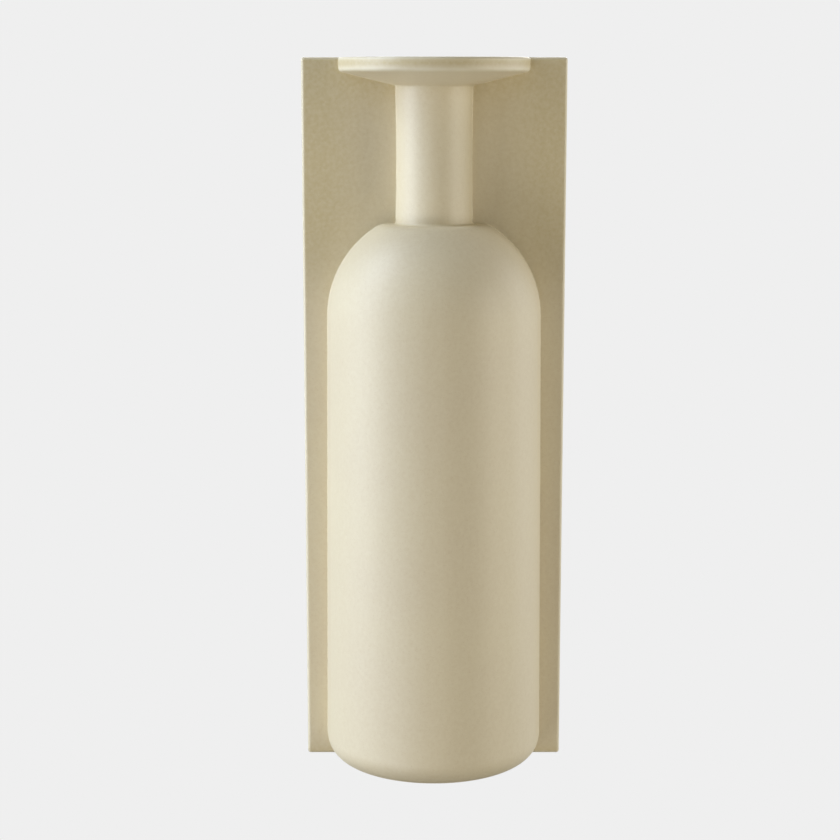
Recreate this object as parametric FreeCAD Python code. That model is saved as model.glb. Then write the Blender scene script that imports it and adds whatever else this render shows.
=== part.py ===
import FreeCAD, Part
import math
import os

# Hanging wall vase in glazed stoneware: half a bottle in relief on a flat slab.
# Millimetres. +Z is up, the front faces -Y and the wall is the plane Y = 0.
# The origin is the seat of the hanging screw: the centre of the round top end
# of the keyhole's slot, on the wall's plane.

# Back slab
slab_width = 110.0
slab_height = 300.0
slab_thickness = 12.0
slab_corner_round = 2.5
slab_edge_round = 1.5

# Bottle body, half round, with its foot flush with the slab's bottom edge. The shoulder
# is part of a sphere as wide as the body, and a rounded ridge leads from it to a flat collar.
body_height = 231.6
body_radius = 46.1
body_wall = 5.0
collar_radius = 21.5
ridge_round = 7.7
foot_round = 10.5
base_thickness = 6.5
floor_bevel = 4.0
bore_radius = 12.0

# Neck, half round, drawn in to a slight waist
neck_radius = 15.9
neck_waist = 0.35

# Rim dish, half round, with its lip flush with the slab's top edge
dish_height = 11.4
dish_depth = 8.0
dish_corner_bevel = 1.8
rim_radius = 39.8
rim_lean = 0.5
rim_height = 5.5
rim_underedge_round = 1.6
lip_width = 4.2
lip_depth = 3.6
lip_bevel = 0.8
bore_mouth_bevel = 1.2

# Hanger block, let in flush in a window of the slab that the neck and body cover: the keyhole for
# the hanging screw, and behind it the undercut pocket for the screw's head
screw_drop = 42.0
slot_width = 6.0
slot_travel = 16.0
entry_radius = 6.0
keyhole_lip = 4.0
pocket_radius = 8.5
pocket_depth = 4.5
block_wall = 5.5
block_corner_round = 3.0
block_joint = 0.3

# Bumpers at the corners of the back
bumper_radius = 4.0
bumper_height = 2.0
bumper_inset = 14.0

# Every cut runs past the face that it opens by this much
cut_overrun = 1.0

# A rounding or bevel takes at most this share of each side of its corner
side_share = 0.45

# Places that follow from the sizes
slab_back = -bumper_height
slab_front = slab_back - slab_thickness
slab_top = screw_drop
slab_bottom = slab_top - slab_height
neck_seat = slab_bottom + body_height
dish_seat = slab_top - dish_height
pocket_floor = slab_back - keyhole_lip - pocket_depth

DOWN = FreeCAD.Vector(0, 0, -1)
TO_WALL = FreeCAD.Vector(0, 1, 0)
HALF_TURN = math.degrees(math.pi)


def beside_axis(across, height):
    """Place on the slab's front plane, across from the bottle's axis, at a height."""
    return FreeCAD.Vector(across, slab_front, height)


def toward(start, end, distance):
    """Place at a distance from start on the way to end."""
    return start + (end - start) * (distance / (end - start).Length)


def line(start, end):
    """Straight edge."""
    return Part.LineSegment(start, end).toShape()


def arc(start, middle, end):
    """Circular edge through three places."""
    return Part.Arc(start, middle, end).toShape()


def around(centre, start, end):
    """Shorter circular edge from start to end about a centre."""
    middle = (start + end) / 2
    return arc(start, toward(centre, middle, (start - centre).Length), end)


def setback_limit(before, corner, after):
    """Most that a corner's rounding or bevel may take of the sides that meet there."""
    return side_share * min((before - corner).Length, (after - corner).Length)


def sharp(before, corner, after, size):
    """Start, edge and end of a corner that stays as it is."""
    return corner, None, corner


def rounded(before, corner, after, radius):
    """Start, edge and end of a corner's arc of a radius."""
    half_angle = (before - corner).getAngle(after - corner) / 2
    setback = min(radius / math.tan(half_angle), setback_limit(before, corner, after))
    start = toward(corner, before, setback)
    end = toward(corner, after, setback)
    centre = toward(corner, (start + end) / 2, setback / math.cos(half_angle))
    return start, around(centre, start, end), end


def bevelled(before, corner, after, width):
    """Start, edge and end of a corner cut off straight, as far back on both of its sides."""
    setback = min(width, setback_limit(before, corner, after))
    start = toward(corner, before, setback)
    end = toward(corner, after, setback)
    return start, line(start, end), end


def section(corners):
    """Flat face whose outline runs through corners given as (place, finish, its size)."""
    places = [place for place, _, _ in corners]
    finished = []
    for index, (place, finish, size) in enumerate(corners):
        after = places[(index + 1) % len(places)]
        finished.append(finish(places[index - 1], place, after, size))
    edges = []
    for index, (_, edge, end) in enumerate(finished):
        if edge:
            edges.append(edge)
        edges.append(line(end, finished[(index + 1) % len(finished)][0]))
    return Part.Face(Part.Wire(edges))


def half_round(face):
    """Face turned half way round the bottle's axis, from one side by the front to the other."""
    return face.revolve(beside_axis(0, 0), DOWN, HALF_TURN)


def panel(half_width, low, high, rounding, front):
    """Upright face with rounded corners, at a depth."""
    return section([
        (FreeCAD.Vector(-half_width, front, low), rounded, rounding),
        (FreeCAD.Vector(half_width, front, low), rounded, rounding),
        (FreeCAD.Vector(half_width, front, high), rounded, rounding),
        (FreeCAD.Vector(-half_width, front, high), rounded, rounding),
    ])


def slot(radius, front):
    """Upright face with round ends, as long as the screw's way from its entry to its seat."""
    low_left = FreeCAD.Vector(-radius, front, -slot_travel)
    low_right = FreeCAD.Vector(radius, front, -slot_travel)
    high_left = FreeCAD.Vector(-radius, front, 0)
    high_right = FreeCAD.Vector(radius, front, 0)
    low_end = FreeCAD.Vector(0, front, -slot_travel - radius)
    high_end = FreeCAD.Vector(0, front, radius)
    return Part.Face(Part.Wire([
        line(low_right, high_right),
        arc(high_right, high_end, high_left),
        line(high_left, low_left),
        arc(low_left, low_end, low_right),
    ]))


def block_face(joint):
    """Hanger block's outline on the slab's front plane, let out by a joint."""
    reach = pocket_radius + block_wall + joint
    return panel(reach, -slot_travel - reach, reach, block_corner_round + joint, slab_front)


def slab_land(half_width, low):
    """Length of the slab's front edge that stays square, because the bottle covers it."""
    corner = beside_axis(-half_width, low)
    return Part.makeBox(2 * half_width, slab_thickness / 2, slab_edge_round, corner)


def make_back_slab():
    """Flat slab with softened edges, and the window that the hanger block is let in."""
    face = panel(slab_width / 2, slab_bottom, slab_top, slab_corner_round, slab_front)
    slab = face.extrude(TO_WALL * slab_thickness)
    rims = [edge for edge in slab.Edges if edge.BoundBox.YLength < slab_thickness / 2]
    slab = slab.makeFillet(slab_edge_round, rims)
    rim_land = slab_land(rim_radius - lip_bevel, slab_top - slab_edge_round)
    foot_land = slab_land(body_radius - foot_round, slab_bottom)
    slab = slab.fuse([rim_land, foot_land]).removeSplitter()
    return slab.cut(block_face(block_joint).extrude(TO_WALL * slab_thickness))


def body_section(wall, floor, foot_finish, foot_size):
    """Bottle body from its axis to its outside less a wall, from a floor to the collar."""
    sphere_radius = body_radius - wall
    ridge_centre = beside_axis(collar_radius, neck_seat - ridge_round)
    sphere_rise = math.sqrt((body_radius - ridge_round) ** 2 - collar_radius ** 2)
    sphere_centre = beside_axis(0, neck_seat - ridge_round - sphere_rise)
    axis_foot = beside_axis(0, floor)
    axis_top = beside_axis(0, neck_seat - wall)
    foot_corner = beside_axis(sphere_radius, floor)
    sphere_side = sphere_centre + beside_axis(sphere_radius, 0) - beside_axis(0, 0)
    ridge_foot = toward(sphere_centre, ridge_centre, sphere_radius)
    ridge_top = beside_axis(collar_radius, neck_seat - wall)
    foot_start, foot_edge, foot_end = foot_finish(axis_foot, foot_corner, sphere_side, foot_size)
    return Part.Face(Part.Wire([
        line(axis_foot, foot_start),
        foot_edge,
        line(foot_end, sphere_side),
        around(sphere_centre, sphere_side, ridge_foot),
        around(ridge_centre, ridge_foot, ridge_top),
        line(ridge_top, axis_top),
        line(axis_top, axis_foot),
    ]))


def make_bottle_body():
    """Half-round shell with a floor, a rounded foot edge and a domed shoulder."""
    outside = body_section(0, slab_bottom, rounded, foot_round)
    cavity = body_section(body_wall, slab_bottom + base_thickness, bevelled, floor_bevel)
    bore = section([
        (beside_axis(0, neck_seat - body_wall - cut_overrun), sharp, 0),
        (beside_axis(bore_radius, neck_seat - body_wall - cut_overrun), sharp, 0),
        (beside_axis(bore_radius, neck_seat + cut_overrun), sharp, 0),
        (beside_axis(0, neck_seat + cut_overrun), sharp, 0),
    ])
    wall = outside.cut([cavity, bore])
    return half_round(wall.Faces[0])


def make_bottle_neck():
    """Half tube between the shoulder and the dish, a little slimmer half way up."""
    foot_outside = beside_axis(neck_radius, neck_seat)
    foot_inside = beside_axis(bore_radius, neck_seat)
    top_outside = beside_axis(neck_radius, dish_seat)
    top_inside = beside_axis(bore_radius, dish_seat)
    waist = beside_axis(neck_radius - neck_waist, (neck_seat + dish_seat) / 2)
    return half_round(Part.Face(Part.Wire([
        line(foot_inside, foot_outside),
        arc(foot_outside, waist, top_outside),
        line(top_outside, top_inside),
        line(top_inside, foot_inside),
    ])))


def make_rim_dish():
    """Half-round flared dish: sloping underside, nearly upright rim, flat lip and sloping floor."""
    lip_inside = rim_radius - lip_width
    return half_round(section([
        (beside_axis(bore_radius, dish_seat), sharp, 0),
        (beside_axis(neck_radius, dish_seat), sharp, 0),
        (beside_axis(rim_radius - rim_lean, slab_top - rim_height), rounded, rim_underedge_round),
        (beside_axis(rim_radius, slab_top), bevelled, lip_bevel),
        (beside_axis(lip_inside, slab_top), bevelled, lip_bevel),
        (beside_axis(lip_inside, slab_top - lip_depth), bevelled, dish_corner_bevel),
        (beside_axis(bore_radius, slab_top - dish_depth), bevelled, bore_mouth_bevel),
    ]))


def make_hanger_block():
    """Block with the undercut keyhole: a round entry below, and a slot up to the screw's seat."""
    block = block_face(0).extrude(TO_WALL * slab_thickness)
    pocket = slot(pocket_radius, pocket_floor).extrude(TO_WALL * pocket_depth)
    cut_length = pocket_depth + keyhole_lip + cut_overrun
    slot_cut = slot(slot_width / 2, pocket_floor).extrude(TO_WALL * cut_length)
    entry_centre = FreeCAD.Vector(0, pocket_floor, -slot_travel)
    entry_cut = Part.makeCylinder(entry_radius, cut_length, entry_centre, TO_WALL)
    return block.cut(pocket.fuse([slot_cut, entry_cut]).removeSplitter())


def make_wall_bumper(across, height):
    """Soft disc on the slab's back."""
    seat_centre = FreeCAD.Vector(across, slab_back, height)
    return Part.makeCylinder(bumper_radius, bumper_height, seat_centre, TO_WALL)


def make_wall_bumpers():
    """The four bumpers by name, one near each corner of the slab."""
    reach = slab_width / 2 - bumper_inset
    heights = (slab_top - bumper_inset, slab_bottom + bumper_inset)
    corners = [(across, height) for height in heights for across in (-reach, reach)]
    return {
        "wall_bumper_%d" % (index + 1): make_wall_bumper(across, height)
        for index, (across, height) in enumerate(corners)
    }


def main():
    """Write each piece to its own file."""
    pieces = {
        "back_slab": make_back_slab(),
        "bottle_body": make_bottle_body(),
        "bottle_neck": make_bottle_neck(),
        "rim_dish": make_rim_dish(),
        "hanger_block": make_hanger_block(),
    }
    pieces.update(make_wall_bumpers())
    os.makedirs("parts", exist_ok=True)
    for name, shape in pieces.items():
        shape.exportStep("parts/%s.step" % name)
        print(name, shape.ShapeType, shape.isValid(), len(shape.Solids), round(shape.Volume))


main()
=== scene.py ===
"""Looks of the hanging wall vase: half a glazed stoneware bottle in relief on a slab.

Sizes are in millimetres and turned to metres where a mesh, lamp or camera is made. The frame is
the part's own: +Z is up, the front faces -Y and the wall is the plane Y = 0.
"""

import logging
import math
from dataclasses import dataclass, field
from enum import Enum
from itertools import accumulate
from typing import Any, Callable, Iterable, Sequence

import bmesh
import bpy
from bpy.types import Material, NodeSocket, NodeTree, Object
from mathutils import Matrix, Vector


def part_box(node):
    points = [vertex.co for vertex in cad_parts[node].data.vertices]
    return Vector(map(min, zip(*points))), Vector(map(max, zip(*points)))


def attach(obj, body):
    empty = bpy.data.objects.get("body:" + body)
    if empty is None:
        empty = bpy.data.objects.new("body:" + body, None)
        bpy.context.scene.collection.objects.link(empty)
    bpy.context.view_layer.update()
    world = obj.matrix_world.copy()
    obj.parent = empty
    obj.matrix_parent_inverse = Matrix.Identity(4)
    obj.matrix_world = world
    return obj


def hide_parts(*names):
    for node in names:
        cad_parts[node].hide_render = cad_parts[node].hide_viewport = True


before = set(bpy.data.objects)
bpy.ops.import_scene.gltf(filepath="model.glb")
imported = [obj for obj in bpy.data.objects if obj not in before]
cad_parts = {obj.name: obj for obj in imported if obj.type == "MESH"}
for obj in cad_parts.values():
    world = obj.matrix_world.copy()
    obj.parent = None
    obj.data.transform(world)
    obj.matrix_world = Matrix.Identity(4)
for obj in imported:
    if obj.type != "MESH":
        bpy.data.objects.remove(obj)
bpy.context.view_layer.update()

log = logging.getLogger("wall_vase")

Place = tuple[float, float]

MM = 0.001
SRGB_KNEE = 0.04045

# Turned and round stretches are drawn with one edge for this much of a turn, in degrees
ARC_STEP = 4.0
HALF_RING_STEP = 2.5

# Straight stretches start with short edges, so that the glaze masks and the shading stay crisp
# near a corner, and grow by a ratio to long ones
SHORT_EDGE = 0.45
LONG_EDGE = 6.0
EDGE_GROWTH = 1.7

# Points that lie closer than this are one, and so are directions that agree to so many digits
MERGE = 0.001
ANGLE_DIGITS = 9

# A ray that drifts across a side by less than this share of its length runs along it
ALONG_SHARE = 1e-9

# Least turn between two faces, in degrees, that stays a sharp crease
CREASE = 35.0

# Inputs by number, where a node has several of one name: of Map Range, and of Mix for colours
VALUE, LOW, HIGH, TO_LOW, TO_HIGH = range(5)
SHARE, UNDER, OVER = 0, 6, 7


class Mask(Enum):
    """What a point's glaze layer is like. The value names the mesh attribute."""

    # Thin glaze over edges, which also paints highlights
    THIN = "thin_glaze"
    # Pooled glaze in corners, which also paints shade
    POOLED = "pooled_glaze"
    BARE = "bare_clay"


# Share of the cove against the slab, and masks of the glaze with its painted highlight and
# shade, at one point of the bottle
Coat = tuple[float, dict[Mask, float]]


class Slot(Enum):
    """Material slots of the part's record."""

    SAND_GLAZE = "sand_glaze"
    BARE_STONEWARE = "bare_stoneware"
    SILICONE = "silicone"


def linear(code: str) -> tuple[float, float, float, float]:
    """Turn an sRGB colour into the linear one that shaders take.

    Args:
        code: Six hexadecimal digits after a hash sign.

    Returns:
        Linear red, green and blue, and an alpha of 1.
    """
    shares = [int(code[at:at + 2], 16) / 255 for at in (1, 3, 5)]
    bright = [
        share / 12.92 if share <= SRGB_KNEE else ((share + 0.055) / 1.055) ** 2.4
        for share in shares
    ]
    return (*bright, 1.0)


def cad_extent(node: str) -> tuple[Vector, Vector]:
    """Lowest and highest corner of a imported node, in millimetres."""
    low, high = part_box(node)
    return low / MM, high / MM


def near(distance: float, width: float) -> float:
    """Share from 1 at no distance to about a third at the width, and on to 0."""
    return math.exp(-(distance / width) ** 2)


def step_up(value: float, low: float, high: float) -> float:
    """Smooth rise from 0 at low to 1 at high."""
    share = min(1.0, max(0.0, (value - low) / (high - low)))
    return share * share * (3 - 2 * share)


def graded_shares(length: float) -> list[float]:
    """Places along a straight stretch, close together at both ends.

    Args:
        length: The stretch's length in millimetres.

    Returns:
        Shares of the length, above 0 and up to 1.
    """
    steps: list[float] = []
    step = SHORT_EDGE
    while 2 * (sum(steps) + step) < length:
        steps.append(step)
        step = min(step * EDGE_GROWTH, LONG_EDGE)
    left = length - 2 * sum(steps)
    middle = max(1, round(left / step))
    every = steps + [left / middle] * middle + steps[::-1]
    return [total / length for total in accumulate(every)]


def quarter_steps(count: int) -> list[tuple[float, float]]:
    """Sines and cosines of a quarter turn in even steps, from its start to its end."""
    angles = [math.pi / 2 * index / count for index in range(count + 1)]
    return [(math.sin(angle), math.cos(angle)) for angle in angles]


def polar(centre: Place, radius: float, angle: float) -> Place:
    """Point at a distance from a centre, in a direction."""
    return centre[0] + radius * math.cos(angle), centre[1] + radius * math.sin(angle)


class Outline:
    """Section of a turned piece, drawn point by point as (radius, height)."""

    def __init__(self, start: Place) -> None:
        """Start the outline at a point."""
        self.points: list[Place] = [start]

    def line_to(self, end: Place) -> "Outline":
        """Draw a straight stretch to a point.

        Args:
            end: The point.

        Returns:
            The outline, so that the next stretch can follow.
        """
        start = self.points[-1]
        for share in graded_shares(math.dist(start, end)):
            self.points.append((
                start[0] + (end[0] - start[0]) * share,
                start[1] + (end[1] - start[1]) * share,
            ))
        return self

    def arc_to(self, centre: Place, end: Place) -> "Outline":
        """Draw the shorter arc about a centre to a point.

        Args:
            centre: The arc's centre.
            end: The point.

        Returns:
            The outline, so that the next stretch can follow.
        """
        start = self.points[-1]
        radius = math.dist(centre, start)
        first = math.atan2(start[1] - centre[1], start[0] - centre[0])
        last = math.atan2(end[1] - centre[1], end[0] - centre[0])
        turn = math.remainder(last - first, math.tau)
        steps = max(2, math.ceil(abs(math.degrees(turn)) / ARC_STEP))
        for index in range(1, steps + 1):
            self.points.append(polar(centre, radius, first + turn * index / steps))
        return self

    def round_to(self, corner: Place, after: Place, radius: float) -> "Outline":
        """Draw on to a corner and round it.

        Args:
            corner: Where the two sides would meet.
            after: A point on the side that leaves the corner.
            radius: The rounding's radius.

        Returns:
            The outline, which ends where the rounding does.
        """
        at = Vector(corner)
        back = (Vector(self.points[-1]) - at).normalized()
        on = (Vector(after) - at).normalized()
        half = back.angle(on) / 2
        setback = radius / math.tan(half)
        centre = at + (back + on).normalized() * (radius / math.sin(half))
        self.line_to(tuple(at + back * setback))
        return self.arc_to(tuple(centre), tuple(at + on * setback))

    def directions(self, closed: bool) -> list[Place]:
        """Unit normals to the right of the way that the outline is drawn.

        Args:
            closed: Whether the last point is joined to the first.

        Returns:
            One normal for each point.
        """
        ends = (self.points[-1], self.points[0])
        start, stop = ends if closed else ends[::-1]
        row = [Vector(point) for point in (start, *self.points, stop)]
        ways = [(after - before).normalized() for before, after in zip(row, row[2:])]
        return [(way.y, -way.x) for way in ways]


@dataclass(frozen=True)
class Cove:
    """Slip and glaze that round the inner corner between the bottle and the slab."""

    radius: float = 0.35
    arc_steps: int = 4
    # Pale thin glaze beside the cove, which also paints a highlight along the bottle's outline
    thin: float = 0.15
    highlight_place_share: float = 1.5

    def depths(self) -> list[float]:
        """Distances from the slab, up to the radius, at which the cove's own points lie."""
        return [self.radius * (1 - cosine) for _, cosine in quarter_steps(self.arc_steps)]

    def spread(self, depth: float) -> float:
        """How far the cove stands out from the bottle's side at a distance from the slab."""
        left = max(0.0, self.radius - depth)
        return self.radius - math.sqrt(self.radius ** 2 - left ** 2)

    def thinning_and_highlight(self, depth: float) -> float:
        """Share of thin glaze and painted highlight at a distance from the slab, by the cove."""
        return self.thin * near(depth - self.highlight_place_share * self.radius, self.radius)

    def half_turn(self, radius: float) -> list[float]:
        """Angles of a half ring's points, close together near the slab.

        Args:
            radius: The ring's radius.

        Returns:
            Angles in radians, from the right side by the front to the left.
        """
        angles = [math.asin(depth / radius) for depth in self.depths()]
        regular = math.radians(HALF_RING_STEP)
        step = angles[-1] - angles[-2]
        while angles[-1] + step * EDGE_GROWTH < math.pi / 2:
            step = min(step * EDGE_GROWTH, regular)
            angles.append(angles[-1] + step)
        if math.pi / 2 - angles[-1] < step / 2:
            angles.pop()
        return angles + [math.pi / 2] + [math.pi - angle for angle in reversed(angles)]


@dataclass
class Shell:
    """Points, faces and glaze masks of one mesh while it is built, in millimetres."""

    points: list[Vector] = field(default_factory=list)
    rows: list[list[int]] = field(default_factory=list)
    faces: list[Sequence[int]] = field(default_factory=list)
    masks: dict[Mask, list[float]] = field(default_factory=lambda: {mask: [] for mask in Mask})

    def add_row(self, places: Iterable[Vector], masks: Iterable[dict[Mask, float]]) -> None:
        """Add a row of points with their masks.

        Args:
            places: The points.
            masks: The glaze masks of each point.
        """
        start = len(self.points)
        self.points.extend(places)
        self.rows.append(list(range(start, len(self.points))))
        for shares in masks:
            for mask in Mask:
                self.masks[mask].append(shares.get(mask, 0.0))

    def loft(self, closed: bool, looped: bool) -> None:
        """Join each row of points to the next with four-sided faces.

        Args:
            closed: Whether each row's last point is joined to its first.
            looped: Whether the last row is joined to the first.
        """
        nexts = self.rows[1:] + self.rows[:1] if looped else self.rows[1:]
        for first, second in zip(self.rows, nexts):
            for index in range(len(first) if closed else len(first) - 1):
                after = (index + 1) % len(first)
                self.faces.append((first[index], first[after], second[after], second[index]))

    def piece(self, name: str, slot: Slot, material: Material, crease: float = CREASE) -> Object:
        """Make the scene's object from the points and faces.

        Args:
            name: The piece's name.
            slot: The record's slot for the piece; not used.
            material: Its finish.
            crease: Least turn between two faces, in degrees, that stays sharp.

        Returns:
            The object, riding on the part's one body.
        """
        mesh = bpy.data.meshes.new(name)
        mesh.from_pydata([point * MM for point in self.points], [], self.faces)
        for mask, values in self.masks.items():
            layer = mesh.attributes.new(mask.value, "FLOAT", "POINT")
            layer.data.foreach_set("value", values)
        work = bmesh.new()
        work.from_mesh(mesh)
        bmesh.ops.remove_doubles(work, verts=work.verts, dist=MERGE * MM)
        bmesh.ops.dissolve_degenerate(work, edges=work.edges, dist=MERGE * MM)
        bmesh.ops.recalc_face_normals(work, faces=work.faces)
        work.to_mesh(mesh)
        work.free()
        mesh.polygons.foreach_set("use_smooth", [True] * len(mesh.polygons))
        mesh.set_sharp_from_angle(angle=math.radians(crease))
        mesh.materials.append(material)
        piece = bpy.data.objects.new(name, mesh)
        bpy.context.scene.collection.objects.link(piece)
        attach(piece, "root")
        weighted = piece.modifiers.new("even_flats", "WEIGHTED_NORMAL")
        weighted.keep_sharp = True
        return piece


@dataclass
class Bottle:
    """Half bottle that stands out of the slab: body, neck and the dish that is its rim."""

    front: float
    foot: float
    shoulder_top: float
    dish_seat: float
    top: float
    foot_radius: float
    neck_radius: float
    rim_radius: float
    shoulder_radius: float = 44.8
    neck_waist: float = 0.35
    wall: float = 5.0
    base: float = 6.5
    bore_radius: float = 12.0
    bore_mouth_round: float = 1.5
    foot_round: float = 10.5
    collar_radius: float = 19.5
    ridge_round: float = 9.0
    dome_depth: float = 25.0
    floor_round: float = 5.0
    crease_cove: float = 1.1
    waist_setback_share: float = 1.3
    rim_lean: float = 0.5
    rim_height: float = 5.5
    rim_underedge_round: float = 1.6
    lip_width: float = 4.2
    lip_depth: float = 3.6
    lip_round: float = 1.0
    dish_depth: float = 8.0
    dish_corner_round: float = 2.5
    # How deep in, and how far turned, a point still belongs to the outer surface
    skin: float = 1.0
    facing: float = 0.2
    # How far from a flush end the cove starts, and how soon it is whole
    cove_start: float = 1.0
    cove_fade: float = 2.0
    # How strong the pooled glaze and painted shade in creases and corners, the darkening towards
    # the foot, the thin glaze and painted highlights on edges and the painted shade band on the rim
    # are, and how wide
    crease_pool_and_shade: float = 0.3
    corner_pool_and_shade: float = 0.4
    crease_fade: float = 2.2
    foot_darkening: float = 0.5
    foot_fade: float = 4.0
    edge_thin_and_highlight: float = 1.6
    lip_fade: float = 1.4
    edge_fade: float = 1.5
    band_shade: float = 1.3
    band_fade: float = 1.8
    band_start: float = 2.0
    band_place_share: float = 0.4
    cove: Cove = Cove()

    @classmethod
    def from_frame(cls) -> "Bottle":
        """Take the bottle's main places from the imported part.

        Returns:
            The bottle.
        """
        body_low, body_high = cad_extent("bottle_body")
        dish_low, dish_high = cad_extent("rim_dish")
        return cls(
            front=body_high.y,
            foot=body_low.z,
            shoulder_top=body_high.z,
            dish_seat=dish_low.z,
            top=dish_high.z,
            foot_radius=body_high.x,
            neck_radius=cad_extent("bottle_neck")[1].x,
            rim_radius=dish_high.x,
        )

    @property
    def under_edge(self) -> Place:
        """Corner between the dish's underside and its rim, before it is rounded."""
        return self.rim_radius - self.rim_lean, self.top - self.rim_height

    def turned(
        self, outline: Outline, closed: bool, coat: Callable[[Place, Place], Coat]
    ) -> Shell:
        """Turn an outline half way round the bottle's axis.

        Args:
            outline: The section.
            closed: Whether it is a loop that stays off the axis.
            coat: Gives the cove and the glaze at a point with its normal.

        Returns:
            A closed shell with its flat side on the slab.
        """
        shell = Shell()
        angles = self.cove.half_turn(max(radius for radius, _ in outline.points))
        for place, normal in zip(outline.points, outline.directions(closed)):
            radius, height = place
            share, glaze = coat(place, normal)
            spots, masks = [], []
            for angle in angles:
                depth = radius * math.sin(angle)
                spread = share * self.cove.spread(depth)
                across = (radius + spread * normal[0]) * math.cos(angle)
                spots.append(Vector((across, self.front - depth, height + spread * normal[1])))
                # The cove's pale thin glaze also paints a highlight along the bottle's outline
                thin = max(glaze.get(Mask.THIN, 0.0), share * self.cove.thinning_and_highlight(depth))
                masks.append({**glaze, Mask.THIN: thin})
            shell.add_row(spots, masks)
        shell.loft(closed=False, looped=closed)
        right = [row[0] for row in shell.rows]
        left = [row[-1] for row in reversed(shell.rows)]
        shell.faces.extend([right, left] if closed else [right + left])
        return shell

    def shoulder(self, outline: Outline, inset: float) -> Outline:
        """Draw the domed shoulder, from the body's side up to the collar's start.

        Args:
            outline: The outline, which has come to the body's side.
            inset: How far inside the outer surface it is drawn.

        Returns:
            The same outline.
        """
        sphere_radius = self.shoulder_radius - inset
        ridge_centre = (self.collar_radius, self.shoulder_top - self.ridge_round)
        reach = self.shoulder_radius - self.ridge_round
        rise = math.sqrt(reach ** 2 - self.collar_radius ** 2)
        sphere_centre = (0.0, ridge_centre[1] - rise)
        outline.line_to((sphere_radius, sphere_centre[1]))
        way = (Vector(ridge_centre) - Vector(sphere_centre)).normalized() * sphere_radius
        outline.arc_to(sphere_centre, tuple(Vector(sphere_centre) + way))
        return outline.arc_to(ridge_centre, (self.collar_radius, self.shoulder_top - inset))

    def make_body(self, material: Material) -> Object:
        """Body shell with its floor, rounded foot, domed shoulder and bore.

        Args:
            material: The piece's finish.

        Returns:
            The piece.
        """
        outside = Outline((0.0, self.foot))
        side = (self.foot_radius, self.foot + self.foot_round)
        outside.round_to((self.foot_radius, self.foot), side, self.foot_round)
        self.shoulder(outside, 0.0)
        outside.line_to((self.bore_radius, self.shoulder_top))
        inside = Outline((0.0, self.foot + self.base))
        corner = (self.foot_radius - self.wall, self.foot + self.base)
        inside.round_to(corner, (corner[0], self.shoulder_top), self.floor_round)
        self.shoulder(inside, self.wall)
        inside.line_to((self.bore_radius, self.shoulder_top - self.wall))
        outside.points.extend(reversed(inside.points))

        def coat(place: Place, normal: Place) -> Coat:
            """Cove on the outside above the foot, pooled glaze and painted shade at the neck, and
            darker towards the foot.

            Args:
                place: Radius and height of a point.
                normal: The surface's direction there.

            Returns:
                The cove and the glaze at that point.
            """
            out = normal[0] > 0 or normal[1] > self.facing
            over = place[0] > self.neck_radius and place[1] > self.foot
            side = place[0] > self.shoulder_radius - self.wall / 2
            dome = place[1] > self.shoulder_top - self.dome_depth
            rise = step_up(place[1], self.foot + self.cove_start, self.foot + self.foot_round)
            to_neck = math.dist(place, (self.neck_radius, self.shoulder_top))
            # Pooled glaze and painted shade at the neck's crease, and darker towards the foot
            at_neck = self.crease_pool_and_shade * near(to_neck, self.crease_fade)
            at_foot = self.foot_darkening * near(place[1] - self.foot, self.foot_fade)
            cove = rise if out and over and (side or dome) else 0.0
            return cove, {Mask.POOLED: max(at_neck, at_foot)}

        shell = self.turned(outside, False, coat)
        piece = shell.piece("glazed_bottle_body", Slot.SAND_GLAZE, material)
        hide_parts("bottle_body")
        return piece

    def make_neck(self, material: Material) -> Object:
        """Half tube with a slight waist and a small cove at each end.

        Args:
            material: The piece's finish.

        Returns:
            The piece.
        """
        low, high = self.shoulder_top, self.dish_seat
        middle = (low + high) / 2
        cove = self.crease_cove
        half = high - middle - self.waist_setback_share * cove
        waist_round = (half ** 2 + self.neck_waist ** 2) / (2 * self.neck_waist)
        outline = Outline((self.bore_radius, low)).line_to((self.neck_radius + cove, low))
        outline.arc_to((self.neck_radius + cove, low + cove), (self.neck_radius, low + cove))
        for share in graded_shares(2 * half):
            height = middle + half * (2 * share - 1)
            bulge = waist_round - math.sqrt(waist_round ** 2 - (height - middle) ** 2)
            outline.points.append((self.neck_radius + bulge - self.neck_waist, height))
        outline.round_to((self.neck_radius, high), self.under_edge, cove)
        outline.line_to((self.bore_radius, high)).line_to((self.bore_radius, low))
        outline.points.pop()

        def coat(place: Place, normal: Place) -> Coat:
            """Cove on the outside only, and pooled glaze and painted shade at both ends.

            Args:
                place: Radius and height of a point.
                normal: The surface's direction there.

            Returns:
                The cove and the glaze at that point.
            """
            outside = place[0] > self.neck_radius - self.skin and normal[0] > self.facing
            # Pooled glaze and painted shade in the creases at both ends
            to_end = min(place[1] - low, high - place[1])
            return float(outside), {Mask.POOLED: self.crease_pool_and_shade * near(to_end, self.crease_fade)}

        shell = self.turned(outline, True, coat)
        piece = shell.piece("glazed_bottle_neck", Slot.SAND_GLAZE, material)
        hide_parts("bottle_neck")
        return piece

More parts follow.
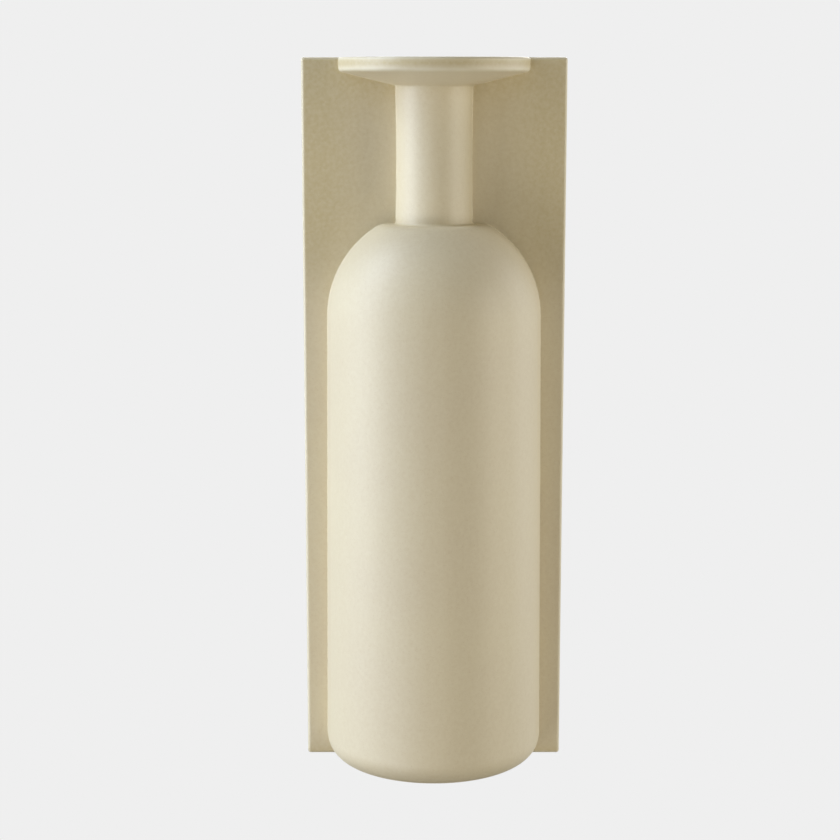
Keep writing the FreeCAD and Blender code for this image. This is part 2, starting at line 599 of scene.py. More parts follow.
    def make_dish(self, material: Material) -> Object:
        """Flared dish with a sloping underside, a nearly upright rim and a soft lip.

        Args:
            material: The piece's finish.

        Returns:
            The piece.
        """
        lip_inside = self.rim_radius - self.lip_width
        bore_low = (self.bore_radius, self.dish_seat)
        neck_corner = (self.neck_radius, self.dish_seat)
        under_edge = self.under_edge
        lip_outer = (self.rim_radius, self.top)
        lip_inner = (lip_inside, self.top)
        floor_corner = (lip_inside, self.top - self.lip_depth)
        mouth = (self.bore_radius, self.top - self.dish_depth)
        band_middle = (self.rim_radius, self.top - self.band_place_share * self.rim_height)
        outline = Outline(bore_low).line_to(neck_corner)
        outline.round_to(under_edge, lip_outer, self.rim_underedge_round)
        outline.round_to(lip_outer, lip_inner, self.lip_round)
        outline.round_to(lip_inner, floor_corner, self.lip_round)
        outline.round_to(floor_corner, mouth, self.dish_corner_round)
        outline.round_to(mouth, bore_low, self.bore_mouth_round)
        outline.line_to(bore_low)
        outline.points.pop()

        def coat(place: Place, normal: Place) -> Coat:
            """Cove below the flush lip, thin glaze and painted highlights over the edges, pooled
            glaze and painted shade in the corners, and a band of painted shade across the rim.

            Args:
                place: Radius and height of a point.
                normal: The surface's direction there.

            Returns:
                The cove and the glaze at that point.
            """
            high = self.top - self.cove_start
            below_lip = 1.0 - step_up(place[1], high - self.cove_fade, high)
            outer = place[0] > self.neck_radius - self.skin or normal[1] > self.facing
            off_bore = place[0] > self.bore_radius + self.skin / 2
            lip = min(math.dist(place, lip_outer), math.dist(place, lip_inner))
            edge = math.dist(place, under_edge)
            # Pale thin glaze and painted highlights on the lip and the rim's under edge
            thin = self.edge_thin_and_highlight * max(near(lip, self.lip_fade), near(edge, self.edge_fade))
            corner = min(math.dist(place, floor_corner), math.dist(place, neck_corner))
            pooled = self.corner_pool_and_shade * near(corner, self.crease_fade)
            # A band of painted shade across the middle of the rim
            if place[0] > lip_inside + self.band_start:
                shade_band = near(math.dist(place, band_middle), self.band_fade)
                pooled = max(pooled, self.band_shade * shade_band)
            cove = below_lip if outer and off_bore else 0.0
            return cove, {Mask.THIN: thin, Mask.POOLED: pooled}

        shell = self.turned(outline, True, coat)
        piece = shell.piece("glazed_rim_dish", Slot.SAND_GLAZE, material)
        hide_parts("rim_dish")
        return piece


@dataclass(frozen=True)
class Disc:
    """Round part of a flat outline."""

    across: float
    height: float
    radius: float

    def grown(self, margin: float) -> "Disc":
        """Same disc, let out by a margin."""
        return Disc(self.across, self.height, self.radius + margin)

    def far_side(self, pole: Place, ray: Place) -> float:
        """Follow a ray from the pole to the disc's far side.

        Args:
            pole: Where the ray starts.
            ray: The ray's direction, of length 1.

        Returns:
            The distance, or 0 if the ray misses.
        """
        to_centre = (self.across - pole[0], self.height - pole[1])
        along = to_centre[0] * ray[0] + to_centre[1] * ray[1]
        aside = to_centre[0] * ray[1] - to_centre[1] * ray[0]
        inside = self.radius ** 2 - aside ** 2
        return along + math.sqrt(inside) if inside > 0 else 0.0


@dataclass(frozen=True)
class Oblong:
    """Straight-sided part of a flat outline."""

    left: float
    right: float
    low: float
    high: float

    def grown(self, margin: float) -> "Oblong":
        """Same oblong, let out by a margin."""
        sides = (self.left - margin, self.right + margin, self.low - margin, self.high + margin)
        return Oblong(*sides)

    def far_side(self, pole: Place, ray: Place) -> float:
        """Follow a ray from the pole to the oblong's far side.

        Args:
            pole: Where the ray starts.
            ray: The ray's direction, of length 1.

        Returns:
            The distance, or 0 if the ray misses.
        """
        enter, leave = 0.0, math.inf
        bounds = ((self.left, self.right), (self.low, self.high))
        for start, way, (low, high) in zip(pole, ray, bounds):
            if abs(way) < ALONG_SHARE:
                if not low <= start <= high:
                    return 0.0
                continue
            first, second = sorted(((low - start) / way, (high - start) / way))
            enter, leave = max(enter, first), min(leave, second)
        return leave if leave > enter else 0.0


@dataclass(frozen=True)
class Plan:
    """Flat outline made of discs and oblongs, seen along the depth from one pole inside it."""

    parts: tuple[Disc | Oblong, ...]
    pole: Place

    @classmethod
    def panel(cls, box: Oblong, corner: float, pole: Place) -> "Plan":
        """Make an oblong with rounded corners.

        Args:
            box: The oblong's sides.
            corner: Radius of its corners.
            pole: Place inside it from which it is seen.

        Returns:
            The plan.
        """
        lower, upper = box.low + corner, box.high - corner
        left, right = box.left + corner, box.right - corner
        discs = [
            Disc(across, height, corner) for across in (left, right) for height in (lower, upper)
        ]
        upright = Oblong(left, right, box.low, box.high)
        level = Oblong(box.left, box.right, lower, upper)
        return cls((upright, level, *discs), pole)

    def reach(self, angle: float, margin: float) -> Place:
        """Find the outline's point in a direction from the pole.

        Args:
            angle: The direction.
            margin: How far the outline is let out.

        Returns:
            Across and height of the point.
        """
        ray = (math.cos(angle), math.sin(angle))
        far = max(part.grown(margin).far_side(self.pole, ray) for part in self.parts)
        return polar(self.pole, far, angle)

    def ring(self, angles: Sequence[float], margin: float, depth: float) -> list[Vector]:
        """Outline's points at a depth, one in each direction."""
        places = [self.reach(angle, margin) for angle in angles]
        return [Vector((across, depth, height)) for across, height in places]


def stack(
    levels: Iterable[tuple[Plan, float, float]], angles: Sequence[float], masks: dict[Mask, float]
) -> Shell:
    """Make a closed shell through flat outlines at a row of depths.

    Args:
        levels: The plan, how far it is let out and the depth of each outline, in order.
        angles: Directions of the outlines' points from the pole.
        masks: Glaze masks of every point.

    Returns:
        The shell, with a face over the first and over the last outline.
    """
    shell = Shell()
    for plan, margin, depth in levels:
        shell.add_row(plan.ring(angles, margin, depth), [masks] * len(angles))
    shell.loft(closed=True, looped=False)
    shell.faces.extend([shell.rows[0][::-1], shell.rows[-1]])
    return shell


@dataclass
class Slab:
    """Flat slab behind the bottle, with softened edges and the hanger block's window."""

    box: Oblong
    front: float
    back: float
    window: Plan
    land_top: float
    land_foot: float
    neck_foot: float
    corner_round: float = 1.2
    corner_steps: int = 6
    edge_round: float = 1.2
    back_round: float = 1.2
    square_edge: float = 0.15
    edge_steps: int = 5
    window_round: float = 0.3
    # Distance from an edge or the window at which a row keeps the flat beside it flat
    support: float = 0.4
    window_support: float = 1.0
    # Lands are the stretches where the bottle is flush with the slab's top and bottom
    flush_margin: float = 0.1
    land_fade: float = 1.6
    land_offsets: tuple[float, ...] = (-0.6, -0.2, 0.2, 0.6, 1.0, 1.6, 2.4, 4.0)
    land_shares: tuple[float, ...] = (0.85, 0.65, 0.45, 0.25, 0.08)
    side_shares: tuple[float, ...] = (0.55, 0.8)
    # How strong the pooled glaze and painted shade near the ends and beside the neck are, and the
    # thin glaze, with painted highlights on the front edge and side, and how wide
    pool_and_shade_width: float = 4.0
    pool_and_shade_row_shares: tuple[float, ...] = (2.5, 1.8, 1.2, 0.8, 0.5)
    recess_shade: float = 0.95
    recess_fade: float = 45.0
    front_thin_and_highlight: float = 0.1
    side_thin_and_highlight: float = 0.25
    rear_thin: float = 0.3
    rear_edge_thin: float = 0.8
    # Where the glaze ends on the back
    glaze_line: float = 3.2
    line_lead: float = 0.3
    line_start_share: float = 0.3

    @classmethod
    def from_frame(cls, bottle: Bottle, hanger: "HangerBlock") -> "Slab":
        """Take the slab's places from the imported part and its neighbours.

        Args:
            bottle: The bottle, flush with the slab at its rim and foot.
            hanger: The block that the slab's window is for.

        Returns:
            The slab.
        """
        low, high = cad_extent("back_slab")
        return cls(
            box=Oblong(low.x, high.x, low.z, high.z),
            front=low.y,
            back=high.y,
            window=hanger.outline(hanger.joint),
            land_top=bottle.rim_radius - bottle.lip_round,
            land_foot=bottle.foot_radius - bottle.foot_round,
            neck_foot=bottle.shoulder_top,
        )

    def directions(self) -> list[float]:
        """Choose where the outline's points lie: corners, land ends and sides.

        Returns:
            Directions from the pole, in rising order.
        """
        pole = self.window.pole
        places: list[Place] = []
        inner = self.box.grown(-self.corner_round)
        for centre, start in (
            ((inner.right, inner.high), 0.0),
            ((inner.left, inner.high), 90.0),
            ((inner.left, inner.low), 180.0),
            ((inner.right, inner.low), 270.0),
        ):
            for index in range(self.corner_steps + 1):
                angle = math.radians(start + 90 * index / self.corner_steps)
                places.append(polar(centre, self.corner_round, angle))
        for share in graded_shares(inner.high - inner.low)[:-1]:
            height = inner.low + (inner.high - inner.low) * share
            places.extend([(self.box.left, height), (self.box.right, height)])
        for land, height in ((self.land_top, self.box.high), (self.land_foot, self.box.low)):
            stops = [land + offset for offset in self.land_offsets]
            stops += [land * share for share in self.land_shares]
            stops += [land + (inner.right - land) * share for share in self.side_shares]
            places.extend((side * stop, height) for stop in stops for side in (-1, 1))
        angles = [math.atan2(height - pole[1], across - pole[0]) for across, height in places]
        return sorted({round(angle, ANGLE_DIGITS) for angle in angles})

    def edge_point(self, angle: float, inset: float) -> Place:
        """Point of the slab's outline in a direction, drawn in by an inset."""
        corner = max(self.corner_round - inset, self.square_edge)
        return Plan.panel(self.box.grown(-inset), corner, self.window.pole).reach(angle, 0.0)

    def softening(self, angle: float) -> float:
        """Size the front edge's round, with none where the bottle is flush.

        Args:
            angle: Direction from the pole.

        Returns:
            The round's radius there.
        """
        across, height = self.edge_point(angle, 0.0)
        if height > self.box.high - self.flush_margin:
            away = step_up(abs(across), self.land_top, self.land_top + self.land_fade)
        elif height < self.box.low + self.flush_margin:
            away = step_up(abs(across), self.land_foot, self.land_foot + self.land_fade)
        else:
            away = 1.0
        return self.square_edge + (self.edge_round - self.square_edge) * away

    def pooling_and_shade(self, spot: Vector) -> float:
        """Share of pooled glaze and painted shade on the front: at its ends and beside the neck.

        Args:
            spot: A point of the slab.

        Returns:
            The share, and none behind the front edge's round.
        """
        # Painted shade near the top and bottom ends, and beside the neck under the rim
        to_edge = min(self.box.high - spot.z, spot.z - self.box.low)
        on_front = 1.0 - step_up(spot.y, self.front, self.front + self.edge_round)
        beside_neck = step_up(spot.z, self.neck_foot - self.recess_fade, self.neck_foot)
        return on_front * max(near(to_edge, self.pool_and_shade_width), self.recess_shade * beside_neck)

    def make(self, material: Material) -> Object:
        """Closed slab: window, front, softened edges, sides and the bare back.

        Args:
            material: The piece's finish.

        Returns:
            The piece.
        """
        angles = self.directions()
        rounds = [self.softening(angle) for angle in angles]
        turn = quarter_steps(self.edge_steps)
        middle = (self.front + self.back) / 2
        back_start = self.back - self.back_round
        glaze_end = self.back_round + self.glaze_line
        line_start = glaze_end / 2 + self.line_lead
        # Each row's depth and inset, their shares of the front edge's round, and masks
        levels: list[tuple[float, float, float, float, dict[Mask, float]]] = [
            (self.front, share * self.pool_and_shade_width, 0.0, 0.0, {}) for share in self.pool_and_shade_row_shares
        ]
        # Pale thin glaze and painted highlight on the front edge's round and the side
        levels.append((self.front, self.support, 0.0, 1.0, {Mask.THIN: self.front_thin_and_highlight}))
        for sine, cosine in turn:
            levels.append((self.front, 0.0, 1 - cosine, 1 - sine, {Mask.THIN: 2 * sine * cosine}))
        levels.append((self.front + self.support, 0.0, 1.0, 0.0, {Mask.THIN: self.side_thin_and_highlight}))
        levels.append((middle, 0.0, 0.0, 0.0, {}))
        levels.append((back_start - self.support, 0.0, 0.0, 0.0, {Mask.THIN: self.rear_thin}))
        for sine, cosine in turn:
            depth, inset = back_start + self.back_round * sine, self.back_round * (1 - cosine)
            levels.append((depth, inset, 0.0, 0.0, {Mask.THIN: self.rear_edge_thin}))
        levels.append((self.back, line_start, 0.0, 0.0, {Mask.BARE: self.line_start_share}))
        levels.append((self.back, glaze_end, 0.0, 0.0, {Mask.BARE: 1.0}))
        shell = Shell()
        for margin in (0.0, self.support):
            shell.add_row(self.window.ring(angles, margin, self.front), [{}] * len(angles))
        for depth, inset, deeper, further, masks in levels:
            spots = []
            for angle, size in zip(angles, rounds):
                across, height = self.edge_point(angle, inset + further * size)
                spots.append(Vector((across, depth + deeper * size, height)))
            # Pooled glaze and painted shade on the front
            shell.add_row(spots, [{Mask.POOLED: self.pooling_and_shade(spot), **masks} for spot in spots])
        for margin, depth in (
            (self.window_support, self.back),
            (self.window_round, self.back),
            (0.0, self.back - self.window_round),
        ):
            spots = self.window.ring(angles, margin, depth)
            shell.add_row(spots, [{Mask.BARE: 1.0}] * len(spots))
        shell.loft(closed=True, looped=True)
        piece = shell.piece("glazed_back_slab", Slot.SAND_GLAZE, material)
        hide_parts("back_slab")
        return piece


@dataclass
class HangerBlock:
    """Block let in the slab's back: the keyhole, and the pocket for the screw's head."""

    box: Oblong
    front: float
    back: float
    joint: float = 0.3
    corner_round: float = 3.0
    edge_round: float = 0.8
    slot_radius: float = 3.0
    slot_travel: float = 16.0
    entry_radius: float = 6.0
    pocket_radius: float = 8.5
    lip: float = 4.0
    pocket_depth: float = 4.5
    pocket_round: float = 0.8
    keyhole_round: float = 0.7
    edge_steps: int = 4
    # Distance from an edge at which a row keeps the flat beside it flat
    support: float = 0.3
    back_support: float = 0.4
    lip_support: float = 0.2
    direction_step: float = 2.5

    @classmethod
    def from_frame(cls) -> "HangerBlock":
        """Take the block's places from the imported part."""
        low, high = cad_extent("hanger_block")
        return cls(box=Oblong(low.x, high.x, low.z, high.z), front=low.y, back=high.y)

    @property
    def pole(self) -> Place:
        """Place inside the entry and the slot, from which every outline shows whole."""
        return 0.0, -self.slot_travel + self.entry_radius - 2 * self.edge_round

    def outline(self, margin: float) -> Plan:
        """Block's outline, let out by a margin."""
        return Plan.panel(self.box.grown(margin), self.corner_round + margin, self.pole)

    def slotted(self, seat_radius: float, entry_radius: float) -> Plan:
        """Round entry with a slot that leads up to a round end about the screw's seat.

        Args:
            seat_radius: Radius of the slot's end, half the slot's width.
            entry_radius: The entry's radius.

        Returns:
            The plan.
        """
        return Plan((
            Oblong(-seat_radius, seat_radius, -self.slot_travel, 0.0),
            Disc(0.0, 0.0, seat_radius),
            Disc(0.0, -self.slot_travel, entry_radius),
        ), self.pole)

    def directions(self) -> list[float]:
        """Choose even directions, and those of the corners between the entry and the slot.

        Returns:
            Directions from the pole, in rising order.
        """
        count = round(180 / self.direction_step)
        even = [math.radians(self.direction_step * index) for index in range(-count, count)]
        rise = math.sqrt(self.entry_radius ** 2 - self.slot_radius ** 2) - self.slot_travel
        corners = [
            math.atan2(rise - self.pole[1], side * self.slot_radius) for side in (-1, 1)
        ]
        return sorted(even + corners)

    def make(self, material: Material) -> Object:
        """Closed block from its front, round its sides and back, and down into the pocket.

        Args:
            material: The piece's finish.

        Returns:
            The piece.
        """
        outside = self.outline(0.0)
        keyhole = self.slotted(self.slot_radius, self.entry_radius)
        pocket = self.slotted(self.pocket_radius, self.pocket_radius)
        under_lip = self.back - self.lip
        levels = [
            (outside, 0.0, self.front),
            (outside, 0.0, self.back - self.edge_round - self.support),
        ]
        for sine, cosine in quarter_steps(self.edge_steps):
            inset = self.edge_round * (1 - cosine)
            levels.append((outside, -inset, self.back - self.edge_round * (1 - sine)))
        levels.append((outside, -self.edge_round - self.back_support, self.back))
        levels.append((keyhole, self.keyhole_round + self.support, self.back))
        for sine, cosine in quarter_steps(self.edge_steps):
            out = self.keyhole_round * (1 - sine)
            levels.append((keyhole, out, self.back - self.keyhole_round * (1 - cosine)))
        levels += [
            (keyhole, 0.0, under_lip + self.lip_support),
            (keyhole, self.lip_support, under_lip),
            (pocket, 0.0, under_lip),
            (pocket, 0.0, under_lip - self.pocket_depth + self.pocket_round),
            (pocket, -self.pocket_round, under_lip - self.pocket_depth),
        ]
        shell = stack(levels, self.directions(), {Mask.BARE: 1.0})
        piece = shell.piece("bare_hanger_block", Slot.BARE_STONEWARE, material)
        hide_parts("hanger_block")
        return piece


@dataclass
class WallBumper:
    """Soft disc on the slab's back with a domed edge and a flat face for the wall."""

    node: str
    skirt: float = 0.35
    dome_round: float = 1.4
    face_support: float = 0.4
    crease: float = 60.0
    ring_count: int = 48
    edge_steps: int = 6

    def make(self, material: Material) -> Object:
        """Closed disc from its seat to its face.

        Args:
            material: The piece's finish.

        Returns:
            The piece.
        """
        low, high = cad_extent(self.node)
        centre = (low + high) / 2
        radius = (high.x - low.x) / 2
        disc = Plan((Disc(centre.x, centre.z, radius),), (centre.x, centre.z))
        dome_start = high.y - self.dome_round
        levels = [(disc, 0.0, low.y), (disc, 0.0, low.y + self.skirt)]
        for sine, cosine in quarter_steps(self.edge_steps):
            depth = max(low.y + self.skirt, dome_start + self.dome_round * sine)
            levels.append((disc, -self.dome_round * (1 - cosine), depth))
        levels.append((disc, -self.dome_round - self.face_support, high.y))
        angles = [math.tau * index / self.ring_count for index in range(self.ring_count)]
        shell = stack(levels, angles, {})
        piece = shell.piece(f"soft_{self.node}", Slot.SILICONE, material, self.crease)
        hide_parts(self.node)
        return piece


def add_node(
    tree: NodeTree,
    kind: str,
    inputs: dict[str | int, Any],
    output: str | int = 0,
    **settings: Any,
) -> NodeSocket | None:
    """Add a shader node with its settings, values and links.

    Args:
        tree: The material's or world's node tree.
        kind: The node's type, without the word that all shader nodes start with.
        inputs: A value, or another node's output to link, by the input's name or number.
        output: Name or number of the output that is wanted.
        **settings: The node's own properties.

    Returns:
        The node's wanted output, or none from a node that has no outputs.
    """
    node = tree.nodes.new(f"ShaderNode{kind}")
    for name, value in settings.items():
        setattr(node, name, value)
    for name, value in inputs.items():
        if isinstance(value, NodeSocket):
            tree.links.new(value, node.inputs[name])
        else:
            node.inputs[name].default_value = value
    return node.outputs[output] if len(node.outputs) else None


def new_material(name: str) -> tuple[Material, NodeTree]:
    """Make a material with an empty node tree.

    Args:
        name: The material's name.

    Returns:
        The material and its node tree.
    """
    material = bpy.data.materials.new(name)
    material.use_nodes = True
    material.node_tree.nodes.clear()
    return material, material.node_tree


def per_size(size: float) -> float:
    """Scale of a noise whose marks are this many millimetres across."""
    return 1 / (size * MM)


@dataclass(frozen=True)
class GlazedStoneware:
    """Matt-satin sand glaze on stoneware, sprayed on and fired.

    The cooled glaze is full of fine crystals, so it is opaque, its shine is broad and soft and it
    shows no sharp reflection. Its colour drifts in large faint clouds and fine mottles, it is
    paler where it drew thin over an edge and deeper where it pooled in a corner. The paler colour
    also paints highlights on edges, and the deeper one paints shade in creases, towards the foot,
    in a band across the rim and on the slab near its ends and beside the neck. On the back it
    ends in an uneven line, past which the clay is bare.
    """

    glaze: str = "#CEC1A2"
    cloud: str = "#D6CBA8"
    # Paler colour of thin glaze and of mottles, which on edges also paints highlights
    thin: str = "#DCD3B8"
    # Deeper colour of pooled glaze, which also paints shade
    pooled: str = "#BEAE82"
    clay: str = "#B89F78"
    dark_clay: str = "#AA906A"
    grog: str = "#8C7350"
    cloud_size: float = 45.0
    mottle_size: float = 1.7
    # Real crystals are about a tenth of this: they are drawn coarser, so that they show
    grain_size: float = 0.55
    wander_size: float = 9.0
    roughness: float = 0.5
    clay_roughness: float = 0.88
    shine: float = 0.6
    ior: float = 1.52
    grain_height: float = 0.012
    wave_height: float = 0.05
    roughness_spread: float = 0.05
    cloud_share: float = 0.35
    mottle_share: float = 0.3
    speck_share: float = 0.25
    pooled_and_shade_share: float = 0.9
    wiped_share: float = 0.5
    ragged_share: float = 0.75

    def material(self) -> Material:
        """Build the glaze's material.

        Returns:
            The material, for meshes that carry the glaze masks.
        """
        material, tree = new_material("sand_glaze_on_stoneware")
        place = add_node(tree, "TexCoord", {}, "Object")
        thin, pooled, bare = (
            add_node(tree, "Attribute", {}, "Fac", attribute_name=mask.value)
            for mask in (Mask.THIN, Mask.POOLED, Mask.BARE)
        )
        clouds, mottle, grain, wander = (
            add_node(tree, "TexNoise", {
                "Vector": place, "Scale": per_size(size), "Detail": detail,
            })
            for size, detail in (
                (self.cloud_size, 2.0),
                (self.mottle_size, 4.0),
                (self.grain_size, 3.0),
                (self.wander_size, 3.0),
            )
        )
        # Noise lies about 0.5, and its part between the low and the high bound shows
        clouds, mottles, specks, grog, wiped = (
            add_node(tree, "MapRange", {VALUE: noise, LOW: low, HIGH: high, TO_HIGH: most})
            for noise, low, high, most in (
                (clouds, 0.35, 0.68, self.cloud_share),
                (mottle, 0.3, 0.72, self.mottle_share),
                (grain, 0.55, 0.75, self.speck_share),
                (grain, 0.42, 0.3, 1.0),
                (wander, 0.35, 0.65, self.wiped_share),
            )
        )
        patchy = add_node(tree, "MapRange", {
            VALUE: wander, LOW: 0.3, HIGH: 0.7, TO_LOW: 0.35, TO_HIGH: 0.7,
        })
        # Thin glaze, which also paints highlights, and pooled glaze, which also paints shade
        thin = add_node(tree, "Math", {0: thin, 1: patchy}, operation="MULTIPLY")
        pooled = add_node(tree, "Math", {0: pooled, 1: self.pooled_and_shade_share}, operation="MULTIPLY")
        colour = linear(self.glaze)
        # Layers: clouds, pooled glaze with painted shade, mottles, specks, thin glaze with painted
        # highlights
        for share, other in (
            (clouds, self.cloud),
            (pooled, self.pooled),
            (mottles, self.thin),
            (specks, self.clay),
            (thin, self.thin),
        ):
            colour = add_node(
                tree, "Mix", {SHARE: share, UNDER: colour, OVER: linear(other)}, 2, data_type="RGBA"
            )
        ragged = add_node(
            tree, "Math", {0: wander, 1: self.ragged_share, 2: bare}, operation="MULTIPLY_ADD"
        )
        bare = add_node(tree, "MapRange", {VALUE: ragged, LOW: 0.8, HIGH: 0.86})
        earth = linear(self.clay)
        for share, other in ((wiped, self.dark_clay), (grog, self.grog)):
            earth = add_node(
                tree, "Mix", {SHARE: share, UNDER: earth, OVER: linear(other)}, 2, data_type="RGBA"
            )
        colour = add_node(
            tree, "Mix", {SHARE: bare, UNDER: colour, OVER: earth}, 2, data_type="RGBA"
        )
        sheen = add_node(tree, "MapRange", {
            VALUE: mottle,
            TO_LOW: self.roughness - self.roughness_spread,
            TO_HIGH: self.roughness + self.roughness_spread,
        })
        rough = add_node(tree, "MapRange", {
            VALUE: bare, TO_LOW: sheen, TO_HIGH: self.clay_roughness,
        })
        waves = add_node(tree, "Bump", {"Height": wander, "Distance": self.wave_height * MM})
        normal = add_node(tree, "Bump", {
            "Height": grain, "Distance": self.grain_height * MM, "Normal": waves,
        })
        shader = add_node(tree, "BsdfPrincipled", {
            "Base Color": colour,
            "Roughness": rough,
            "IOR": self.ior,
            "Specular IOR Level": self.shine,
            "Normal": normal,
        })
        add_node(tree, "OutputMaterial", {"Surface": shader})
        return material


@dataclass(frozen=True)
class BareStoneware:
    """Unglazed fired stoneware, wiped smooth when wet.

    It is dry and quite matt, warm buff, with fine darker and paler grog that stands a little
    proud of the clay.
    """

    clay: str = "#B89F78"
    dark_grog: str = "#8C7350"
    pale_grog: str = "#D2BF9C"
    cloud_size: float = 12.0
    grog_size: float = 0.6
    roughness: float = 0.9
    shine: float = 0.3
    grain_height: float = 0.05
    even_share: float = 0.3

    def material(self) -> Material:
        """Build the clay's material.

        Returns:
            The material.
        """
        material, tree = new_material("bare_stoneware_clay")
        place = add_node(tree, "TexCoord", {}, "Object")
        clouds, grog = (
            add_node(tree, "TexNoise", {"Vector": place, "Scale": per_size(size), "Detail": 3.0})
            for size in (self.cloud_size, self.grog_size)
        )
        dark, pale, even = (
            add_node(tree, "MapRange", {VALUE: noise, LOW: low, HIGH: high, TO_HIGH: most})
            for noise, low, high, most in (
                (grog, 0.42, 0.3, 1.0),
                (grog, 0.58, 0.72, 1.0),
                (clouds, 0.3, 0.7, self.even_share),
            )
        )
        colour = linear(self.clay)
        for share, other in ((dark, self.dark_grog), (pale, self.pale_grog), (even, self.clay)):
            colour = add_node(
                tree, "Mix", {SHARE: share, UNDER: colour, OVER: linear(other)}, 2, data_type="RGBA"
            )
        normal = add_node(tree, "Bump", {"Height": grog, "Distance": self.grain_height * MM})
        shader = add_node(tree, "BsdfPrincipled", {
            "Base Color": colour,
            "Roughness": self.roughness,
            "Specular IOR Level": self.shine,
            "Normal": normal,
        })
        add_node(tree, "OutputMaterial", {"Surface": shader})
        return material


@dataclass(frozen=True)
class Silicone:
    """Moulded milky silicone rubber.

    Light goes a little way into it, so that its edge looks soft, and its shine is dull where dust
    has settled on it.
    """

    milk: str = "#CFCDC2"
    dust: str = "#BDB9AA"
    dust_size: float = 1.5
    roughness: float = 0.42
    ior: float = 1.41
    depth: float = 0.8
    depth_share: float = 0.25

    def material(self) -> Material:
        """Build the silicone's material.

        Returns:
            The material.
        """
        material, tree = new_material("milky_silicone")
        place = add_node(tree, "TexCoord", {}, "Object")
        dust = add_node(tree, "TexNoise", {
            "Vector": place, "Scale": per_size(self.dust_size), "Detail": 4.0,
        })
        layers = {SHARE: dust, UNDER: linear(self.milk), OVER: linear(self.dust)}
        colour = add_node(tree, "Mix", layers, 2, data_type="RGBA")
        shader = add_node(tree, "BsdfPrincipled", {
            "Base Color": colour,
            "Roughness": self.roughness,
            "IOR": self.ior,
            "Subsurface Weight": self.depth_share,
            "Subsurface Scale": self.depth * MM,
        })
        add_node(tree, "OutputMaterial", {"Surface": shader})
        return material


@dataclass(frozen=True)
class Lamp:
    """Soft box that looks at the vase."""

    name: str
    turn: float
    rise: float
    power: float
    colour: str
    distance: float = 900.0
    width: float = 300.0
    height: float = 900.0

    def light(self, aim: Vector) -> None:
        """Put the lamp round the aim point, facing it.

        Args:
            aim: Place in metres that the lamp looks at.
        """
        data = bpy.data.lights.new(self.name, "AREA")
        data.shape = "RECTANGLE"
        data.size = self.width * MM
        data.size_y = self.height * MM
        data.energy = self.power
        data.color = linear(self.colour)[:3]
        turn, rise = math.radians(self.turn), math.radians(self.rise)
        away = Vector((
            math.sin(turn) * math.cos(rise),
            -math.cos(turn) * math.cos(rise),
            math.sin(rise),
        ))
        lamp = bpy.data.objects.new(self.name, data)
        lamp.location = aim + away * self.distance * MM
        lamp.rotation_mode = "QUATERNION"
        lamp.rotation_quaternion = (-away).to_track_quat("-Z", "Y")
        lamp.visible_camera = False
        bpy.context.scene.collection.objects.link(lamp)


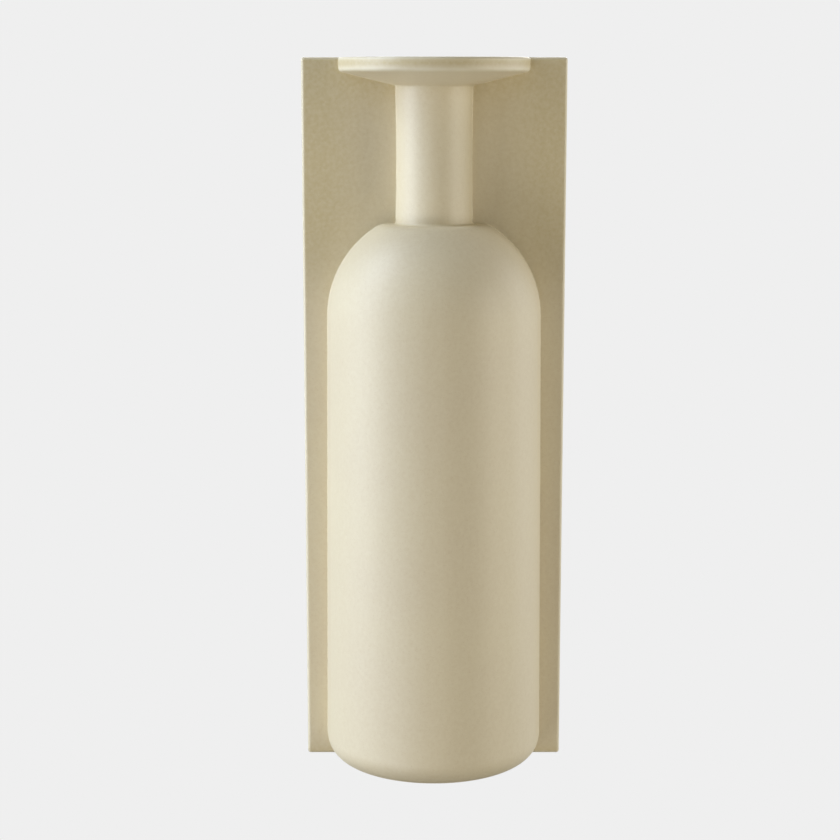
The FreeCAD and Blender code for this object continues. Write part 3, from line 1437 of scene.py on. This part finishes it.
@dataclass(frozen=True)
class Studio:
    """Pale studio: soft boxes on both sides, an even pale surround and a floor far below."""

    surround: str = "#EFEFEF"
    fill_strength: float = 0.1
    fill: str = "#F6F4EE"
    floor: str = "#8F8D87"
    floor_drop: float = 700.0
    floor_radius: float = 800.0
    floor_sides: int = 96
    camera_lens: float = 83.86
    camera_distance: float = 819.3
    camera_across: float = -5.9
    camera_drop: float = 6.1
    camera_tilt: float = 10.08
    sensor: float = 36.0
    lamps: tuple[Lamp, ...] = (
        Lamp("left_key", -65.0, 5.0, 4.1, "#EEF4FF"),
        Lamp("left_edge", -85.0, 5.0, 4.3, "#D4E4FF"),
        Lamp("high_left", -85.0, 45.0, 4.3, "#DFEBFF", height=400.0),
        Lamp("right_box", 65.0, 5.0, 3.9, "#FFFCF4"),
        Lamp("right_edge", 105.0, 5.0, 2.65, "#F2F6FF"),
        Lamp("low_left_front", -40.0, -30.0, 1.4, "#FFFCFD", height=400.0),
        Lamp("low_front", 0.0, -25.0, 0.95, "#FFF2DD", height=400.0),
        Lamp("back_box", 175.0, 30.0, 9.0, "#FFFFFF", distance=1100.0, width=600.0),
    )

    def seen(
        self, tree: NodeTree, lit: NodeSocket, kind: str, ways: Sequence[str]
    ) -> NodeSocket:
        """Show the plain surround on some rays and another shader on the rest.

        Args:
            tree: The world's or floor's node tree.
            lit: Shader that the other rays meet.
            kind: Type of the node that gives the surround's plain light.
            ways: Light Path's names for the rays that see the plain surround.

        Returns:
            The mixed shader.
        """
        share: Any = 0.0
        for way in ways:
            ray = add_node(tree, "LightPath", {}, way)
            share = add_node(tree, "Math", {0: share, 1: ray}, operation="MAXIMUM")
        plain = add_node(tree, kind, {"Color": linear(self.surround), "Strength": 1.0})
        return add_node(tree, "MixShader", {0: share, 1: lit, 2: plain})

    def make_world(self) -> None:
        """Even pale surround that fills the shadows."""
        world = bpy.data.worlds.new("pale_surround")
        world.use_nodes = True
        tree = world.node_tree
        tree.nodes.clear()
        fill = add_node(tree, "Background", {
            "Color": linear(self.fill), "Strength": self.fill_strength,
        })
        rays = ("Is Camera Ray", "Is Glossy Ray", "Is Transmission Ray")
        shader = self.seen(tree, fill, "Background", rays)
        add_node(tree, "OutputWorld", {"Surface": shader})
        bpy.context.scene.world = world

    def make_floor(self, lowest: float) -> None:
        """Grey floor below the vase, pale to the camera and clear when it is seen from below.

        Args:
            lowest: Height of the vase's lowest point.
        """
        material, tree = new_material("pale_floor")
        grey = add_node(tree, "BsdfDiffuse", {"Color": linear(self.floor)})
        above = self.seen(tree, grey, "Emission", ("Is Camera Ray",))
        clear = add_node(tree, "BsdfTransparent", {})
        below = add_node(tree, "NewGeometry", {}, "Backfacing")
        shader = add_node(tree, "MixShader", {0: below, 1: above, 2: clear})
        add_node(tree, "OutputMaterial", {"Surface": shader})
        mesh = bpy.data.meshes.new("pale_floor")
        work = bmesh.new()
        radius = self.floor_radius * MM
        bmesh.ops.create_circle(work, cap_ends=True, radius=radius, segments=self.floor_sides)
        work.to_mesh(mesh)
        work.free()
        mesh.materials.append(material)
        floor = bpy.data.objects.new("pale_floor", mesh)
        floor.location.z = (lowest - self.floor_drop) * MM
        bpy.context.scene.collection.objects.link(floor)

    def make_camera(self, front: float, top: float) -> None:
        """Camera almost level with the rim, tilted down to take in the whole vase.

        Args:
            front: Depth of the slab's front plane.
            top: Height of the rim's top.
        """
        data = bpy.data.cameras.new("camera")
        data.sensor_width = self.sensor
        data.lens = self.camera_lens
        camera = bpy.data.objects.new("camera", data)
        camera.location = Vector((
            self.camera_across, front - self.camera_distance, top - self.camera_drop
        )) * MM
        camera.rotation_euler = (math.radians(90 - self.camera_tilt), 0.0, 0.0)
        bpy.context.scene.collection.objects.link(camera)
        bpy.context.scene.camera = camera


def main() -> None:
    """Build the pieces, the studio and the camera, and note the sizes."""
    logging.basicConfig(level=logging.INFO, format="%(name)s %(message)s")
    bpy.context.scene.view_settings.view_transform = "Standard"
    glaze = GlazedStoneware().material()
    clay = BareStoneware().material()
    silicone = Silicone().material()
    bottle = Bottle.from_frame()
    hanger = HangerBlock.from_frame()
    slab = Slab.from_frame(bottle, hanger)
    pieces = [
        slab.make(glaze),
        bottle.make_body(glaze),
        bottle.make_neck(glaze),
        bottle.make_dish(glaze),
        hanger.make(clay),
    ]
    nodes = sorted(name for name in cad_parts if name.startswith("wall_bumper"))
    pieces.extend(WallBumper(node).make(silicone) for node in nodes)
    for piece in pieces:
        log.info("%s has %d faces", piece.name, len(piece.data.polygons))
    studio = Studio()
    studio.make_world()
    studio.make_floor(slab.box.low)
    studio.make_camera(slab.front, bottle.top)
    middle = Vector((0.0, slab.front, (slab.box.low + slab.box.high) / 2)) * MM
    for lamp in studio.lamps:
        lamp.light(middle)


if __name__ == "__main__":
    main()
